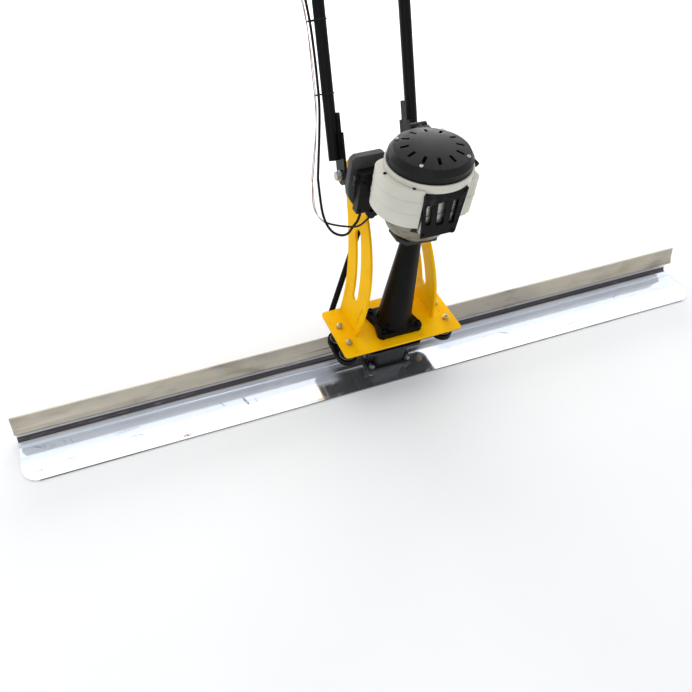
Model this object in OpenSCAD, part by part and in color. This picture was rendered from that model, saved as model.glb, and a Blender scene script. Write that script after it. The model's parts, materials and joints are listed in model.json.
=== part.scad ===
// Power screed: a vibrating aluminium screed board driven by a small vertical-shaft petrol engine.
// X runs along the board, -Y is the front, +Y is the operator's side, Z = 0 is the ground.

/* [Screed board] */
// Length of the board
blade_length = 1800; // [1200:10:2400]
// Depth of the flat sole plate, front edge to step
flange_depth = 106; // [90:1:120]
// Thickness of the sole plate
flange_t = 4; // [3:0.5:5]
// Radius of the two front corners
tip_radius = 38; // [10:1:60]

/* [Engine plate] */
// Length of the engine plate along the board
plate_length = 298; // [280:1:340]
// Depth of the engine plate
plate_depth = 150; // [146:1:170]
// Thickness of the engine plate
plate_t = 6; // [6:0.5:8]

/* [Rubber mounts] */
// Spacing of the rubber mounts along the board
mount_x = 252; // [248:1:256]
// Spacing of the rubber mounts front to back
mount_y = 54; // [50:1:58]
// Diameter of a rubber mount
mount_d = 38; // [30:1:42]

/* [Side arms] */
// Thickness of the side arms
arm_t = 6; // [4:0.5:8]
// Inward lean of the side arms
arm_lean = 7.9; // [6:0.1:9]
// Width of the curved slot in each arm
slot_w = 24; // [16:1:28]

/* [Drive housing] */
// Diameter of the drive housing at its foot
cone_foot_d = 80; // [76:1:92]
// Diameter of the drive housing at its top
cone_top_d = 42; // [40:1:46]
// Wall of the drive housing
cone_wall = 5; // [3:0.5:6]

/* [Handle] */
// Tilt of the handle from upright, towards the operator
handle_tilt = 28; // [20:1:35]
// Distance from the pivot to the handlebar
handle_length = 590; // [520:5:650]
// Length of the handlebar
bar_length = 700; // [600:10:800]
// Outer diameter of the handle tubes
tube_d = 25; // [22:0.5:28]
// Wall of the handle tubes
tube_wall = 1.6; // [1.2:0.1:2.5]

/* [Hidden] */
$fn = 64;
eps = 0.01;
run_gap = 0.05;            // radial gap of every running fit
axis_y = 12;               // engine and drive axis
plate_top = 134;           // top of the engine plate
front_y = -63;             // front edge of the board
step_y = front_y + flange_depth;
mount_mid_y = 10;
pad_bottom = 82;
pad_top = 96;
plate_bottom = plate_top - plate_t;
plate_mid_y = 20;
pivot_y = 200;
pivot_z = 440;
arm_x = 98.6;              // arm position where it meets the engine plate
cone_flange_t = 15;
cone_top_z = 394;
case_z = 404;              // joint between clutch housing and crankcase
crank_z = 515;             // height of the cylinder axis
intake_z = 505;            // height of the carburettor and air cleaner
stand_x = -119;            // kickstand hinge
stand_y = 103.5;
stand_z = 108;
stand_tip = [-52, 143, 327];

function bezier(p, t) = pow(1 - t, 3) * p[0] + 3 * t * pow(1 - t, 2) * p[1]
    + 3 * t * t * (1 - t) * p[2] + pow(t, 3) * p[3];
function unit(v) = v / norm(v);

// Upright block with rounded vertical corners, centred on X and Y
module rounded_block(size, r) {
    translate([-size[0] / 2, -size[1] / 2 + r, 0]) cube([size[0], size[1] - 2 * r, size[2]]);
    translate([-size[0] / 2 + r, -size[1] / 2, 0]) cube([size[0] - 2 * r, size[1], size[2]]);
    for (sx = [-1, 1], sy = [-1, 1])
        translate([sx * (size[0] / 2 - r), sy * (size[1] / 2 - r), 0]) cylinder(r = r, h = size[2]);
}

// Ring or bush standing on the XY plane
module ring(outer, inner, h) {
    difference() {
        cylinder(d = outer, h = h);
        translate([0, 0, -1]) cylinder(d = inner, h = h + 2);
    }
}

// Hexagonal nut with a plain bore
module nut(across_flats, bore, h) {
    difference() {
        cylinder(d = across_flats / cos(30), h = h, $fn = 6);
        translate([0, 0, -1]) cylinder(d = bore, h = h + 2);
    }
}

module at_axis() { translate([0, axis_y, 0]) children(); }
module at_mounts() {
    for (sx = [-1, 1], sy = [-1, 1])
        translate([sx * mount_x / 2, mount_mid_y + sy * mount_y / 2, 0]) children();
}
module at_handle() { translate([0, pivot_y, pivot_z]) rotate([-handle_tilt, 0, 0]) children(); }

// ---------- Screed board ----------
blade_profile = [[front_y, 0], [front_y, flange_t], [step_y - 10, flange_t], [step_y - 10, 5],
    [step_y, 5], [50, 8], [54, 14], [54.5, 24], [50, 33], [44.6, 37.5], [44, 41], [48.6, 47.5],
    [49.4, 51], [51.2, 52], [60.5, 79], [64, 79], [55.6, 54], [57, 40], [58.5, 25], [58.5, 8], [58, 0]];
blade_screw_at = [[-48, -12], [48, -12], [-48, 24], [48, 24]];
cover_screw_at = [[-33, -9], [33, -9], [-33, 34], [33, 34]];

module blade() {
    color("lightsteelblue") difference() {
        rotate([90, 0, 90]) translate([0, 0, -blade_length / 2])
            linear_extrude(blade_length) polygon(blade_profile);
        for (sx = [-1, 1]) translate([sx * (blade_length / 2 - tip_radius), front_y + tip_radius, -1])
            difference() {
                translate([sx > 0 ? 0 : -tip_radius - 1, -tip_radius - 1, 0])
                    cube([tip_radius + 1, tip_radius + 1, flange_t + 2]);
                cylinder(r = tip_radius, h = flange_t + 2, $fn = 96);
            }
        for (p = blade_screw_at) translate([p[0], p[1], -eps]) {
            cylinder(d1 = 16.2, d2 = 8.6, h = 3.2 + eps);
            cylinder(d = 8.6, h = 8);
        }
    }
}

module blade_screws() {
    color("silver") for (p = blade_screw_at) translate([p[0], p[1], 0]) {
        cylinder(d1 = 15.6, d2 = 8, h = 3.2);
        cylinder(d = 8, h = 24);
        translate([0, 0, 14]) ring(17, 8, 1.6);
        translate([0, 0, 15.6]) nut(13, 8, 6.5);
    }
}

// ---------- Exciter ----------
module exciter_housing() {
    color("dimgray") difference() {
        union() {
            translate([0, 5, flange_t]) rounded_block([116, 55.9, 10], 10);
            translate([0, 13.25, 14 - eps]) rounded_block([80, 58.5, 60 + eps], 12);
            for (sx = [-1, 1]) translate([sx * 45 - 7, 2, 10]) cube([14, 8, 50]);
        }
        at_axis() translate([0, 0, 18]) cylinder(d = 35, h = 60);
        at_axis() translate([0, 0, 29]) cylinder(d = 46, h = 60);
        for (p = blade_screw_at) translate([p[0], p[1], 0]) {
            cylinder(d = 8.6, h = 30);
            translate([0, 0, 14]) cylinder(d = 18, h = 40);
        }
        for (p = cover_screw_at) translate([p[0], p[1], 50]) cylinder(d = 8.1, h = 30);
    }
}

module exciter_cover() {
    color("dimgray") difference() {
        union() {
            translate([0, 10, 74]) rounded_block([140, 76, 8], 12);
            at_axis() translate([0, 0, 60]) cylinder(d = 45.8, h = 14 + eps);
        }
        at_axis() translate([0, 0, 59]) cylinder(d = 35, h = 12);
        at_axis() cylinder(d = 22, h = 90);
        for (p = cover_screw_at) translate([p[0], p[1], 60]) cylinder(d = 8.6, h = 30);
    }
}

module cover_screws() {
    color("silver") for (p = cover_screw_at) translate([p[0], p[1], 52]) {
        cylinder(d = 8, h = 38);
        translate([0, 0, 38]) difference() {
            cylinder(d = 13, h = 8);
            translate([0, 0, 4]) cylinder(d = 6.9, h = 5, $fn = 6);
        }
    }
}

module exciter_bearings() {
    color("lightgray") at_axis() {
        translate([0, 0, 18]) ring(35, 15 + 2 * run_gap, 11);
        translate([0, 0, 60]) ring(35, 15 + 2 * run_gap, 11);
    }
}

module eccentric_shaft() {
    color("gray") at_axis() translate([0, 0, 18.5]) cylinder(d = 15, h = 78);
}

module eccentric_weight() {
    color("darkslategray") at_axis() translate([0, 0, 32]) difference() {
        union() {
            cylinder(d = 24, h = 25);
            intersection() {
                cylinder(r = 21, h = 25);
                translate([-22, -22, 0]) cube([44, 22, 25]);
            }
        }
        translate([0, 0, -1]) cylinder(d = 15, h = 27);
    }
}

// ---------- Lower bracket and rubber mounts ----------
module lower_bracket() {
    color("black") difference() {
        union() {
            translate([0, 16, pad_bottom]) rounded_block([216, 76, 8], 6);
            for (sx = [-1, 1]) translate([sx * mount_x / 2, mount_mid_y, pad_bottom])
                rounded_block([48, mount_y + 48, pad_top - pad_bottom], 24 - eps);
        }
        at_axis() cylinder(d = 46, h = 120);
        at_mounts() cylinder(d = 8.6, h = 120);
        for (p = cover_screw_at) translate([p[0], p[1], 60]) cylinder(d = 8.6, h = 60);
    }
}

module isolators() {
    color("black") at_mounts() translate([0, 0, pad_top]) difference() {
        rotate_extrude() polygon([[0, 0], [mount_d / 2, 0], [mount_d / 2, 6], [mount_d / 2 - 3, 12],
            [mount_d / 2 - 3, plate_bottom - pad_top - 12], [mount_d / 2, plate_bottom - pad_top - 6],
            [mount_d / 2, plate_bottom - pad_top], [0, plate_bottom - pad_top]]);
        translate([0, 0, -1]) cylinder(d = 8, h = 8);
        translate([0, 0, plate_bottom - pad_top - 7]) cylinder(d = 8, h = 8);
    }
}

module isolator_studs() {
    color("silver") at_mounts() {
        translate([0, 0, pad_bottom - 10]) cylinder(d = 8, h = pad_top + 7 - pad_bottom + 10);
        translate([0, 0, plate_bottom - 7]) cylinder(d = 8, h = plate_t + 7 + 12);
    }
}

module isolator_nuts() {
    color("gold") at_mounts() {
        translate([0, 0, plate_top]) ring(17, 8, 1.6);
        translate([0, 0, plate_top + 1.6]) nut(13, 8, 6.5);
        translate([0, 0, pad_bottom - 1.6]) ring(17, 8, 1.6);
        translate([0, 0, pad_bottom - 8.1]) nut(13, 8, 6.5);
    }
}

// ---------- Engine plate and arms ----------
cone_bolt_at = [[-44, -22], [44, -22], [-44, 46], [44, 46]];

module engine_plate() {
    color("gold") difference() {
        translate([0, plate_mid_y, plate_bottom]) rounded_block([plate_length, plate_depth, plate_t], 8);
        at_axis() cylinder(d = 46, h = 200);
        at_mounts() cylinder(d = 8.6, h = 200);
        for (p = cone_bolt_at) translate([p[0], p[1], 0]) cylinder(d = 8.1, h = 200);
    }
}

arm_front = [[-2, 0], [-24, 131], [35, 231], [150, 306]];
arm_back = [[92, 0], [90, 101], [141, 199], [229, 292]];
arm_slot = [[50, 80], [56.4, 118.4], [74.3, 161.9], [108, 210]];
arm_steps = 20;
boss_r = 34;
boss = [pivot_y, pivot_z - plate_top];

function arc(centre, r, from, to, steps) = [for (i = [0:steps])
    let (a = from + (to - from) * i / steps) centre + r * [cos(a), sin(a)]];
function slot_dir(t) = unit(bezier(arm_slot, t + 0.001) - bezier(arm_slot, t));
function slot_side(t, side) = bezier(arm_slot, t) + side * slot_w / 2 * [slot_dir(t)[1], -slot_dir(t)[0]];
function slot_angle(t) = atan2(slot_dir(t)[1], slot_dir(t)[0]);

// Arm seen from the side: front edge, rounded boss at the pivot, back edge, curved slot
module arm_outline() {
    difference() {
        polygon(concat([for (i = [0:arm_steps]) bezier(arm_front, i / arm_steps)],
            arc(boss, boss_r, 130, -20, 16),
            [for (i = [arm_steps:-1:0]) bezier(arm_back, i / arm_steps)]));
        polygon(concat([for (i = [0:arm_steps]) slot_side(i / arm_steps, -1)],
            arc(bezier(arm_slot, 1), slot_w / 2, slot_angle(1) + 75, slot_angle(1) - 75, 10),
            [for (i = [arm_steps:-1:0]) slot_side(i / arm_steps, 1)],
            arc(bezier(arm_slot, 0), slot_w / 2, slot_angle(0) - 105, slot_angle(0) - 255, 10)));
    }
}

// Side arm: a curved flat plate welded to the engine plate, leaning inwards; side is -1 left, 1 right
module arm(side) {
    color("gold") difference() {
        translate([side * arm_x, 0, plate_top]) rotate([0, -side * arm_lean, 0])
            rotate([90, 0, 90]) translate([0, 0, -arm_t / 2]) linear_extrude(arm_t) arm_outline();
        translate([-150, -50, plate_top - 40]) cube([300, 200, 40]);
        translate([-150, pivot_y, pivot_z]) rotate([0, 90, 0]) cylinder(d = 34, h = 300);
    }
}
module arm_left() { arm(-1); }
module arm_right() { arm(1); }

pivot_half = 76;
module pivot_tube() {
    color("gold") translate([-pivot_half, pivot_y, pivot_z]) rotate([0, 90, 0]) ring(34, 28, 2 * pivot_half);
}
module pivot_bushes() {
    color("peru") for (x = [-pivot_half, pivot_half - 14]) translate([x, pivot_y, pivot_z])
        rotate([0, 90, 0]) ring(28, 12 + 2 * run_gap, 14);
}

// ---------- Drive housing ----------
module drive_housing() {
    color("black") at_axis() difference() {
        union() {
            translate([0, 0, plate_top]) rounded_block([112, 92, cone_flange_t], 13);
            translate([0, 0, plate_top + cone_flange_t - eps]) cylinder(d1 = cone_foot_d, d2 = cone_top_d,
                h = cone_top_z - plate_top - cone_flange_t + eps);
            translate([0, 0, plate_top + cone_flange_t - eps]) cylinder(d = cone_foot_d + 8, h = 4);
        }
        translate([0, 0, plate_top - 1]) cylinder(d = 60, h = 6);
        translate([0, 0, plate_top + 4]) cylinder(d = 28, h = 30);
        translate([0, 0, plate_top + 14]) cylinder(d1 = cone_foot_d - 2 * cone_wall,
            d2 = cone_top_d - 2 * cone_wall, h = cone_top_z - plate_top - 32);
        cylinder(d = 20, h = cone_top_z);
        translate([0, 0, cone_top_z - 14]) cylinder(d = 28, h = 15);
        for (p = cone_bolt_at) translate([p[0], p[1] - axis_y, 0]) cylinder(d = 8.6, h = 200);
    }
}

module housing_bolts() {
    color("dimgray") for (p = cone_bolt_at) translate([p[0], p[1], plate_bottom]) {
        cylinder(d = 8, h = plate_t + cone_flange_t);
        translate([0, 0, plate_t + cone_flange_t]) difference() {
            cylinder(d = 13, h = 8);
            translate([0, 0, 4]) cylinder(d = 6.9, h = 5, $fn = 6);
        }
    }
}

module shaft_bearings() {
    color("lightgray") at_axis() {
        translate([0, 0, plate_top + 5]) ring(28, 12 + 2 * run_gap, 8);
        translate([0, 0, cone_top_z - 14]) ring(28, 12 + 2 * run_gap, 8);
    }
}

module drive_shaft() {
    color("silver") at_axis() translate([0, 0, 114]) cylinder(d = 12, h = 287);
}

// Flexible jaw coupling: two hubs with a rubber spider between them
module coupling() {
    color("gray") at_axis() {
        translate([0, 0, 92]) ring(40, 15, 12);
        translate([0, 0, 104]) cylinder(d = 36, h = 8);
        translate([0, 0, 112]) difference() {
            cylinder(d = 40, h = 14);
            translate([0, 0, 2]) cylinder(d = 12, h = 13);
        }
    }
}

// ---------- Clutch ----------
module clutch_housing() {
    color("black") difference() {
        translate([0, 0, cone_top_z]) linear_extrude(case_z - cone_top_z) offset(r = 4) offset(delta = -4)
            polygon([[-39, 45], [-39, 6], [-26, -13], [43, -18], [43, 45]]);
        at_axis() translate([0, 0, cone_top_z - 1]) cylinder(d = 22, h = 20);
        at_axis() translate([0, 0, cone_top_z + 3]) cylinder(d = 46, h = 20);
    }
}

module clutch_drum() {
    color("gray") at_axis() difference() {
        translate([0, 0, cone_top_z + 4]) cylinder(d = 42, h = 15);
        translate([0, 0, cone_top_z + 7]) cylinder(d = 38, h = 14);
        translate([0, 0, cone_top_z]) cylinder(d = 12, h = 16);
    }
}

module clutch_shoes() {
    color("sienna") at_axis() translate([0, 0, cone_top_z + 8.5]) difference() {
        union() {
            cylinder(d = 21, h = 9);
            for (a = [0, 180]) rotate([0, 0, a]) intersection() {
                ring(36, 24, 9);
                translate([-40, 3, 0]) cube([80, 40, 9]);
            }
            translate([-4, -14, 0]) cube([8, 28, 9]);
        }
        translate([0, 0, -1]) cylinder(d = 15, h = 12);
    }
}

// ---------- Engine ----------
case_top = 548;
lip_z = 457;                // top of the crankcase's lip, which carries the covers
cover_z = 480;              // underside of the cylinder cover
module crankcase() {
    color("rosybrown") at_axis() difference() {
        union() {
            rotate_extrude($fn = 96) polygon([[0, case_z], [30, case_z], [34, case_z + 7], [60, case_z + 26],
                [70, lip_z - 6], [70, lip_z], [52, lip_z], [46, lip_z + 6], [46, case_top], [0, case_top]]);
            translate([-56, -34, crank_z - 32]) cube([30, 68, 64]);
            translate([26, 40, case_z + 40]) rotate([-90, 0, 0]) cylinder(d = 26, h = 28);
            intersection() {
                rotate_extrude($fn = 96)
                    polygon([[63, lip_z - 2], [70, lip_z - 2], [77, cover_z], [71, cover_z]]);
                translate([-120, -100, 400]) cube([74, 200, 100]);
            }
        }
        translate([0, 0, case_z - 1]) cylinder(d = 46, h = 12);
        translate([0, 0, case_z + 10]) cylinder(d = 32, h = 12);
        translate([0, 0, case_z + 20]) rotate_extrude() polygon([[0, 0], [36, 0], [52, 22], [38, 34],
            [38, case_top - case_z - 32], [0, case_top - case_z - 32]]);
        translate([0, 0, case_top - 11]) cylinder(d = 32, h = 12);
        translate([0, 0, case_z]) cylinder(d = 22, h = case_top);
        translate([0, 0, crank_z]) rotate([0, -90, 0]) cylinder(d = 36, h = 80);
        translate([26, 30, case_z + 40]) rotate([-90, 0, 0]) cylinder(d = 16, h = 60);
    }
}

module crank_bearings() {
    color("lightgray") at_axis() {
        translate([0, 0, case_z + 11]) ring(31.96, 15 + 2 * run_gap, 9);
        translate([0, 0, case_top - 10]) ring(31.96, 15 + 2 * run_gap, 9);
    }
}

module crankshaft() {
    color("silver") at_axis() {
        translate([0, 0, cone_top_z + 8.5]) cylinder(d = 15, h = 178.5);
        translate([0, 0, crank_z - 19]) cylinder(d = 60, h = 9);
        translate([0, 0, crank_z + 10]) cylinder(d = 60, h = 9);
    }
}

flywheel_z = case_top + 4;
module flywheel() {
    color("silver") at_axis() translate([0, 0, flywheel_z]) difference() {
        union() {
            cylinder(d = 100, h = 6);
            cylinder(d = 30, h = 14);
            for (i = [0:11]) rotate([0, 0, 30 * i]) translate([22, -1.25, 5]) cube([26, 2.5, 9]);
        }
        translate([0, 0, -1]) cylinder(d = 15, h = 20);
    }
}

module cylinder_fins() {
    for (i = [0:3]) translate([0, 0, 4 + 6 * i]) rounded_block([60, 72, 2.4], 10);
}
module cylinder_body() {
    color("darkgray") translate([-57, axis_y, crank_z]) rotate([0, -90, 0]) difference() {
        union() {
            cylinder(d = 52, h = 30);
            cylinder_fins();
            translate([0, 0, -1 + eps]) rounded_block([60, 66, 1], 6);
        }
        translate([0, 0, -2]) cylinder(d = 36, h = 26);
        translate([0, 0, 22]) cylinder(d = 10, h = 20);
    }
}

module spark_plug() {
    color("white") translate([-81, axis_y, crank_z]) rotate([0, -90, 0]) {
        cylinder(d = 10, h = 6.5);
        translate([0, 0, 6.5]) cylinder(d = 14, h = 3, $fn = 6);
        translate([0, 0, 9.5]) cylinder(d = 8, h = 4);
    }
}

// Cover over the cylinder and spark plug, open towards the engine
cover_h = 83;
cover_front = [[-44.5, -63], [-74, -54], [-99, -24], [-99, 14]];
cover_back = [[-99, 14], [-99, 44], [-96, 66], [-44.5, 64]];
cover_steps = 10;
cover_curve = concat([for (i = [0:cover_steps]) bezier(cover_front, i / cover_steps)],
    [for (i = [1:cover_steps]) bezier(cover_back, i / cover_steps)]);
cover_outline = cover_curve;
cover_inside = concat([[-40, -59.5]], [for (i = [1:2 * cover_steps - 1])
    cover_curve[i] + 3 * unit([-44.5, 6] - cover_curve[i])], [[-40, 60.5]]);
module cylinder_cover() {
    color("beige") difference() {
        translate([0, 0, cover_z]) linear_extrude(cover_h) polygon(cover_outline);
        translate([0, 0, cover_z + 3]) linear_extrude(cover_h - 6) polygon(cover_inside);
        at_axis() translate([0, 0, cover_z - 1]) cylinder(d = 94, h = 6);
        at_axis() translate([0, 0, case_top - 1]) cylinder(d = 108, h = 30);
    }
}

shroud_r = 84;
module fan_shroud() {
    color("beige") at_axis() difference() {
        union() {
            rotate_extrude($fn = 96) polygon([[64, lip_z], [68, lip_z], [76, 468], [shroud_r, 486],
                [shroud_r, 574], [shroud_r - 3, 574], [shroud_r - 3, 487], [73.6, 470], [64, lip_z + 3]]);
            translate([0, 0, 567]) ring(2 * shroud_r - 2, 116, 3);
        }
        translate([-120, -80, 400]) cube([75.5, 170, 163.5]);
        translate([-45, -120, 400]) cube([90, 92, 157.5]);
        translate([47, -52, 400]) cube([63, 113, 163]);
    }
}

module muffler() {
    color("silver") translate([-1, -49, lip_z + 3]) difference() {
        rounded_block([68, 22, 86], 6);
        translate([0, 0, 3]) rounded_block([62, 16, 80], 4);
    }
}

guard_slots = [
    [[-32.5, 487], [-21.5, 487], [-27.6, 535], [-39.6, 532]],
    [[-9, 482], [6, 482], [2.8, 535], [-15.4, 535]],
    [[18, 480], [29.8, 480], [29, 535], [16, 535]],
];

module muffler_guard() {
    color("black") union() {
        translate([0, -64, 0]) rotate([90, 0, 0]) linear_extrude(4) difference() {
            union() {
                polygon([[-36.5, lip_z], [38, lip_z], [42, 557], [-48, 557]]);
                translate([32.5, lip_z + 3.5]) circle(5.5);
            }
            for (outline = guard_slots) offset(r = 3) offset(delta = -3) polygon(outline);
        }
        hull() {
            translate([35, -65, lip_z]) cube([3, 23, 1]);
            translate([39, -65, 556]) cube([3, 23, 1]);
        }
        translate([-30, -65, lip_z]) cube([63, 21, 3]);
    }
}

module carburettor() {
    color("black") difference() {
        union() {
            translate([-103, 74, 430]) cube([43, 20, 94]);
            translate([-64, 81, 420]) cylinder(d = 28, h = 12);
            translate([-69, 56, intake_z - 1]) rotate([-90, 0, 0]) cylinder(d = 26, h = 40);
        }
        translate([-69, 50, intake_z - 1]) rotate([-90, 0, 0]) cylinder(d = 16, h = 50);
        translate([-104, 84, 514]) rotate([0, 90, 0]) cylinder(d = 5 + 2 * run_gap, h = 19);
        translate([-64, 81, 419]) cylinder(d = 20 + 4 * run_gap, h = 5.6);
        translate([0, 0, cover_z]) linear_extrude(cover_h) polygon(cover_outline);
    }
}

cleaner_outline = [[-108, 551], [-116, 545], [-118, 480], [-114, 460], [-104, 442], [-92, 426],
    [-86, 424], [-46, 424], [-42, 428], [-42, 545], [-50, 551]];

module air_cleaner() {
    color("dimgray") difference() {
        translate([0, 112, 0]) rotate([90, 0, 0]) linear_extrude(16) polygon(cleaner_outline);
        translate([0, 109, 0]) rotate([90, 0, 0]) linear_extrude(10)
            offset(delta = -3) polygon(cleaner_outline);
        translate([-69, 90, intake_z - 1]) rotate([-90, 0, 0]) cylinder(d = 16, h = 12);
    }
}

tank_x = 70;
filler = [85, 15, 540];    // filler neck, leaning out at filler_lean
filler_lean = 45;
module fuel_tank() {
    color("ivory") difference() {
        union() {
            translate([tank_x, 10, 470]) rounded_block([42, 98, 78], 16);
            translate([tank_x, 10, 463 - eps]) rounded_block([35, 91, 7 + 2 * eps], 14);
            translate([tank_x, 10, lip_z]) rounded_block([24, 80, 6 + eps], 11);
            translate(filler) rotate([0, filler_lean, 0]) cylinder(d = 26, h = 14);
        }
        translate([tank_x, 10, 473]) rounded_block([36, 92, 72], 13);
        translate(filler) rotate([0, filler_lean, 0]) translate([0, 0, -9]) cylinder(d = 20, h = 30);
    }
}

module fuel_cap() {
    color("black") translate(filler) rotate([0, filler_lean, 0]) {
        translate([0, 0, 14.3]) cylinder(d = 30, h = 10);
        translate([0, 0, 6]) cylinder(d = 20 - 2 * run_gap, h = 8.5);
        for (i = [0:11]) rotate([0, 0, 30 * i]) translate([14, -1.5, 15.3]) cube([2.5, 3, 8]);
    }
}

module oil_cap() {
    color("black") translate([26, axis_y, case_z + 40]) rotate([-90, 0, 0]) {
        translate([0, 0, 30]) cylinder(d = 16 - 2 * run_gap, h = 38.7);
        translate([0, 0, 68.7]) cylinder(d = 26, h = 7);
        translate([-9, -2, 75.7 - eps]) cube([18, 4, 7]);
    }
}

recoil_z = 574;
module recoil_housing() {
    color("black") at_axis() translate([0, 0, recoil_z]) difference() {
        union() {
            rotate_extrude($fn = 96) polygon([[0, 0], [80, 0], [80, 14], [72, 26], [40, 34], [0, 34]]);
            translate([10, 56, 2]) cube([28, 26, 20]);
        }
        translate([0, 0, -1]) cylinder(d = 130, h = 22);
        for (i = [0:11]) rotate([0, 0, 30 * i + 15]) translate([44, -3, 10]) cube([16, 6, 30]);
        translate([24, 40, 12]) rotate([-90, 0, 0]) cylinder(d = 7, h = 60);
    }
}

module recoil_grip() {
    color("black") translate([24, axis_y + 82.2, recoil_z + 12]) rotate([-90, 0, 0]) {
        cylinder(d1 = 13, d2 = 17, h = 10);
        translate([-18, 0, 15]) rotate([0, 90, 0]) cylinder(d = 16, h = 36);
        translate([0, 0, 8]) cylinder(d = 15, h = 8);
        translate([0, 0, -24]) cylinder(d = 3.6, h = 25);
    }
}

module choke_lever() {
    color("black") translate([-113.5, 84, 514]) rotate([0, 90, 0]) {
        cylinder(d = 5, h = 27);
        cylinder(d = 11, h = 4);
        translate([0, -2.5, 0]) cube([15, 5, 4]);
        translate([15, 0, 0]) cylinder(d = 9, h = 4);
    }
}

module primer_bulb() {
    color("black") translate([-64, 81, 420.4]) rotate([180, 0, 0]) {
        cylinder(d = 20, h = 5);
        translate([0, 0, 4.9]) rotate_extrude() polygon(concat([[0, 0]], arc([0, 0], 9, 0, 90, 12)));
    }
}

// ---------- Kickstand ----------
module stand_bracket() {
    color("gold") difference() {
        for (x = [stand_x - 11, stand_x + 13]) hull() {
            translate([x, 82, plate_bottom - 1]) cube([3, 12, 1]);
            translate([x, stand_y, stand_z]) rotate([0, 90, 0]) cylinder(d = 14, h = 3);
        }
        translate([stand_x - 20, stand_y, stand_z]) rotate([0, 90, 0]) cylinder(d = 6, h = 40);
    }
}
module stand_pin() {
    color("silver") translate([stand_x - 11, stand_y, stand_z]) rotate([0, 90, 0]) {
        cylinder(d = 6, h = 29);
        translate([0, 0, -2]) cylinder(d = 10, h = 2);
    }
}
module kickstand() {
    leg = stand_tip - [stand_x, stand_y, stand_z];
    leg_length = norm(leg);
    color("black") difference() {
        union() {
            translate([stand_x - 7.5, stand_y, stand_z]) rotate([0, 90, 0]) cylinder(d = 14, h = 20);
            translate([stand_x, stand_y, stand_z]) rotate([0, 0, atan2(leg[1], leg[0])])
                rotate([0, acos(leg[2] / leg_length), 0]) {
                    cylinder(d = 14, h = leg_length - 7);
                    translate([0, 0, leg_length - 7]) sphere(d = 15);
                }
        }
        translate([stand_x - 20, stand_y, stand_z]) rotate([0, 90, 0]) cylinder(d = 6 + 2 * run_gap, h = 40);
    }
}

// ---------- Handle ----------
plate_x = 77;              // inner face of each handle side plate
side_t = 6;
tube_x = plate_x + side_t + tube_d / 2 - 1;

module pivot_bolt() {
    color("silver") translate([0, pivot_y, pivot_z]) rotate([0, 90, 0]) {
        translate([0, 0, -96]) cylinder(d = 12, h = 200);
        translate([0, 0, -96]) cylinder(d = 21.9, h = 8, $fn = 6);
        translate([0, 0, -88]) ring(24, 12, 4.98);
    }
}

// Handle side: flat pivot plate welded to an upright tube; side is -1 left, 1 right
module handle_side(side) {
    color("black") at_handle() difference() {
        union() {
            translate([side > 0 ? plate_x : -plate_x - side_t, 0, 0]) {
                rotate([0, 90, 0]) cylinder(d = 44, h = side_t);
                translate([0, -22, 0]) cube([side_t, 44, 90]);
                translate([0, -12, 90 - eps]) cube([side_t, 24, 40]);
            }
            translate([side * tube_x, 0, 34]) cylinder(d = tube_d, h = handle_length - 34);
        }
        translate([side * tube_x, 0, 32]) cylinder(d = tube_d - 2 * tube_wall, h = handle_length);
        translate([-150, 0, 0]) rotate([0, 90, 0]) cylinder(d = 12.04, h = 300);
        translate([-150, 0, handle_length]) rotate([0, 90, 0]) cylinder(d = tube_d, h = 300);
    }
}
module handle_left() { handle_side(-1); }
module handle_right() { handle_side(1); }

module handlebar() {
    color("black") at_handle() translate([-bar_length / 2, 0, handle_length]) rotate([0, 90, 0])
        ring(tube_d, tube_d - 2 * tube_wall, bar_length);
}

grip_l = 130;
module grips() {
    color("dimgray") at_handle() for (side = [-1, 1])
        translate([side > 0 ? bar_length / 2 - grip_l : -bar_length / 2, 0, handle_length])
            rotate([0, 90, 0]) difference() {
                cylinder(d = 34, h = grip_l);
                translate([0, 0, -1]) cylinder(d = tube_d, h = grip_l + 2);
            }
}

lever_x = -196;            // throttle lever pivot
lever_y = -32;
lever_open = 13;           // angle of the released lever to the handlebar
module control_mount() {
    color("black") at_handle() difference() {
        union() {
            translate([-212, 0, handle_length]) rotate([0, 90, 0]) cylinder(d = 36, h = 32);
            translate([-212, -42, handle_length - 12]) cube([32, 42, 24]);
            translate([-212, -14, handle_length + 10]) cube([32, 28, 16]);
        }
        translate([-260, 0, handle_length]) rotate([0, 90, 0]) cylinder(d = tube_d, h = 100);
        translate([lever_x, lever_y, handle_length - 20]) cylinder(d = 5, h = 40);
        translate([-230, -50, handle_length - 5]) cube([44, 29, 10]);
        translate([-196, 0, handle_length + 20]) rotate([-90, 0, 0]) cylinder(d = 12 + 2 * run_gap, h = 20);
    }
}

module throttle_lever() {
    color("dimgray") at_handle() {
        translate([lever_x, lever_y, handle_length - 11]) cylinder(d = 5 - 2 * run_gap, h = 22);
        translate([lever_x, lever_y, handle_length - 4]) cylinder(d = 18, h = 8);
        translate([lever_x, lever_y, handle_length - 3.5]) rotate([0, 0, lever_open])
            translate([-118, -4.5, 0]) cube([118, 9, 7]);
        translate([lever_x, lever_y, handle_length - 4]) rotate([0, 0, lever_open])
            translate([-118, 0, 0]) cylinder(d = 13, h = 8);
    }
}

module stop_button() {
    color("red") at_handle() translate([-196, 4, handle_length + 20]) rotate([-90, 0, 0]) {
        cylinder(d = 12, h = 12);
        translate([0, 0, 12 - eps]) cylinder(d1 = 12, d2 = 9, h = 2);
    }
}

module clamp_knob() {
    color("black") translate([plate_x + side_t + 0.2, pivot_y, pivot_z]) rotate([0, 90, 0]) difference() {
        union() {
            cylinder(d = 24, h = 24);
            translate([0, 0, 8]) for (i = [0:4]) rotate([0, 0, 72 * i]) translate([14, 0, 0])
                cylinder(d = 16, h = 14);
        }
        translate([0, 0, -1]) cylinder(d = 12 + 2 * run_gap, h = 23);
    }
}

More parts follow.
